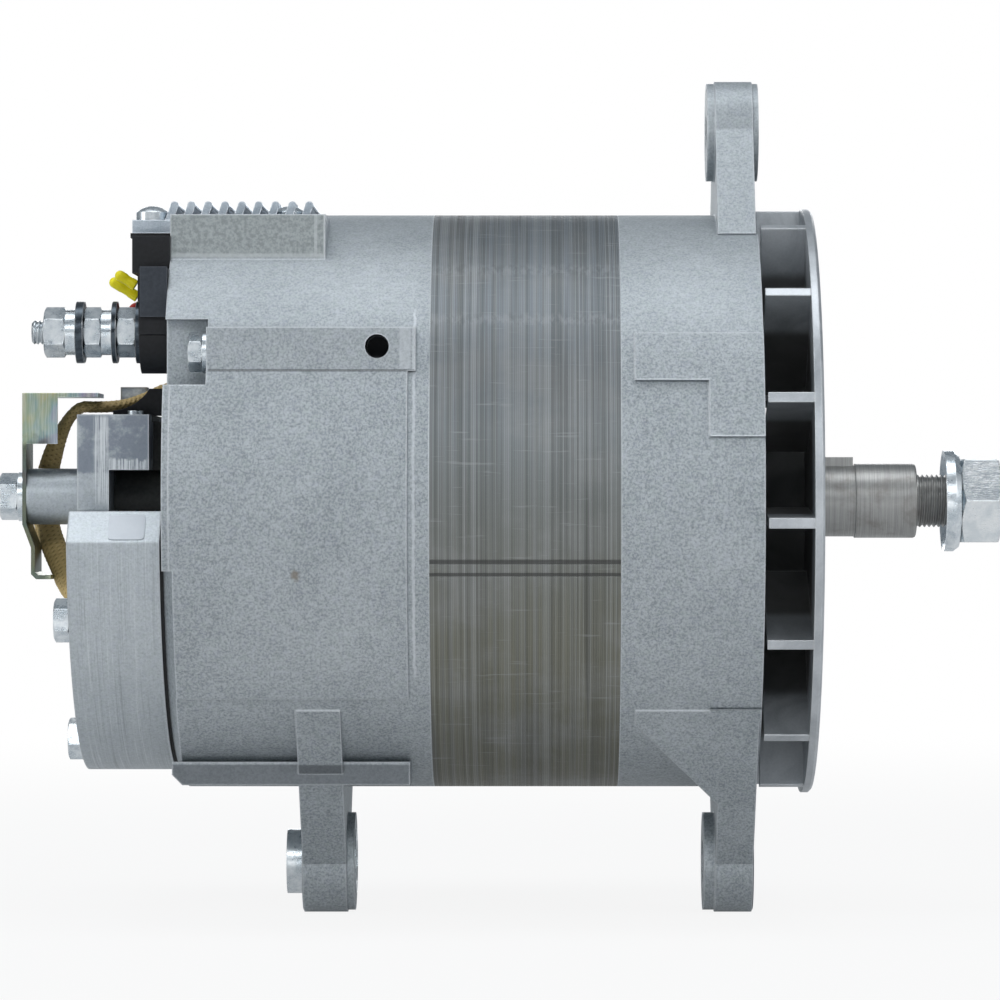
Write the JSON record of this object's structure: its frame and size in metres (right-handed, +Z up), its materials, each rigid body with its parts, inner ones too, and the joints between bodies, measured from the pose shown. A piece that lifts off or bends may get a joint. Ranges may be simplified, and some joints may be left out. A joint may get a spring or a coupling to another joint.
{
  "type": "heavy duty alternator",
  "caption": "Belt driven alternator with an outside fan, hinge ears, a keyed shaft end and a finned rectifier on its rear housing.",
  "frame": {"origin": "on the shaft axis at the front face of the fan, where the pulley hub bears", "axes": "+X along the shaft towards its threaded end, +Z up from the hinge ears to the adjusting ear, +Y away from the output stud's side"},
  "size_m": [0.2998, 0.1746, 0.2488],
  "materials": {
    "cast": "rough cast",
    "machined": "fine turned",
    "fan_cast": "bead blasted casting",
    "lamination": "stacked sheets, lacquered",
    "copper_wire": "varnished winding",
    "zinc": "bright zinc plated",
    "steel": "ground steel",
    "dark_steel": "dark steel",
    "pole_iron": "bare iron",
    "bearing_steel": "polished",
    "brass_cage": "stamped brass",
    "copper_ring": "turned copper",
    "black_plastic": "moulded",
    "panel_plastic": "moulded",
    "nylon": "moulded",
    "gasket": "fibre sheet",
    "carbon": "pressed carbon",
    "sink_aluminium": "extruded",
    "yellow_sleeve": "insulating sleeve",
    "red_insulation": "wire insulation",
    "braid": "braided glass sleeve",
    "yellow_zinc": "iridescent zinc",
    "label": "blank label"
  },
  "bodies": {
    "casing": {"front_housing": "cast", "rear_housing": "cast", "stator_core": "lamination", "stator_windings": "copper_wire", "through_bolts": "zinc", "front_bearing_outer": "bearing_steel", "bearing_retainer": "steel", "retainer_screws": "zinc", "rear_bearing_outer": "bearing_steel", "rear_cover": "machined", "cover_gasket": "gasket", "cover_bolts": "zinc", "brush_holder": "black_plastic", "brush_spring_front": "steel", "brush_spring_rear": "steel", "brush_cap": "black_plastic", "brush_cap_screws": "zinc", "lead_boot": "black_plastic", "heat_sink": "sink_aluminium", "insulator_sheet": "black_plastic", "diodes": "bearing_steel", "sink_screws": "zinc", "terminal_block": "black_plastic", "terminal_panel": "panel_plastic", "output_stud": "zinc", "stud_nuts": "zinc", "stud_lock_washers": "steel", "stud_flat_washers": "dark_steel", "yellow_terminals": "yellow_sleeve", "red_wire": "red_insulation", "braided_sleeve": "braid", "bracket": "yellow_zinc", "bracket_bolt": "zinc", "bracket_washer": "zinc", "side_bolt": "zinc", "side_bolt_washer": "zinc", "label_plate": "label", "regulator": "black_plastic", "regulator_screws": "zinc"},
    "rotor": {"rotor_shaft": "steel", "front_pole": "pole_iron", "rear_pole": "pole_iron", "field_coil": "copper_wire", "coil_bobbin": "nylon", "slip_ring_hub": "black_plastic", "slip_rings": "copper_ring", "fan": "fan_cast", "fan_spacer": "steel", "shaft_key": "dark_steel", "shaft_washer": "zinc", "shaft_nut": "zinc", "front_bearing_inner": "bearing_steel", "rear_bearing_inner": "bearing_steel"},
    "front_balls": {"front_bearing_balls": "bearing_steel", "front_bearing_cage": "brass_cage"},
    "rear_rollers": {"rear_bearing_rollers": "bearing_steel", "rear_bearing_cage": "brass_cage"},
    "hinge_bushing": {"ear_bushing": "zinc"},
    "front_brush": {"brush_front": "carbon"},
    "rear_brush": {"brush_rear": "carbon"}
  },
  "joints": [
    {"name": "rotor_spin", "type": "hinge", "parent": "casing", "child": "rotor", "pos_m": [0, 0, 0], "axis": [1, 0, 0], "continuous": true},
    {"name": "front_cage_spin", "type": "hinge", "parent": "casing", "child": "front_balls", "pos_m": [0, 0, 0], "axis": [1, 0, 0], "continuous": true},
    {"name": "rear_cage_spin", "type": "hinge", "parent": "casing", "child": "rear_rollers", "pos_m": [0, 0, 0], "axis": [1, 0, 0], "continuous": true},
    {"name": "bushing_slide", "type": "slide", "parent": "casing", "child": "hinge_bushing", "axis": [1, 0, 0], "range_m": [-0.002, 0.005]},
    {"name": "front_brush_slide", "type": "slide", "parent": "casing", "child": "front_brush", "axis": [0, 0, 1], "range_m": [0, 0.004], "stiffness_N_per_m": 150, "deforming": ["brush_spring_front"]},
    {"name": "rear_brush_slide", "type": "slide", "parent": "casing", "child": "rear_brush", "axis": [0, 0, 1], "range_m": [0, 0.004], "stiffness_N_per_m": 150, "deforming": ["brush_spring_rear"]}
  ],
  "couplings": [
    {"joint": "front_cage_spin", "follows": "rotor_spin", "ratio": 0.3713},
    {"joint": "rear_cage_spin", "follows": "rotor_spin", "ratio": 0.4018}
  ]
}
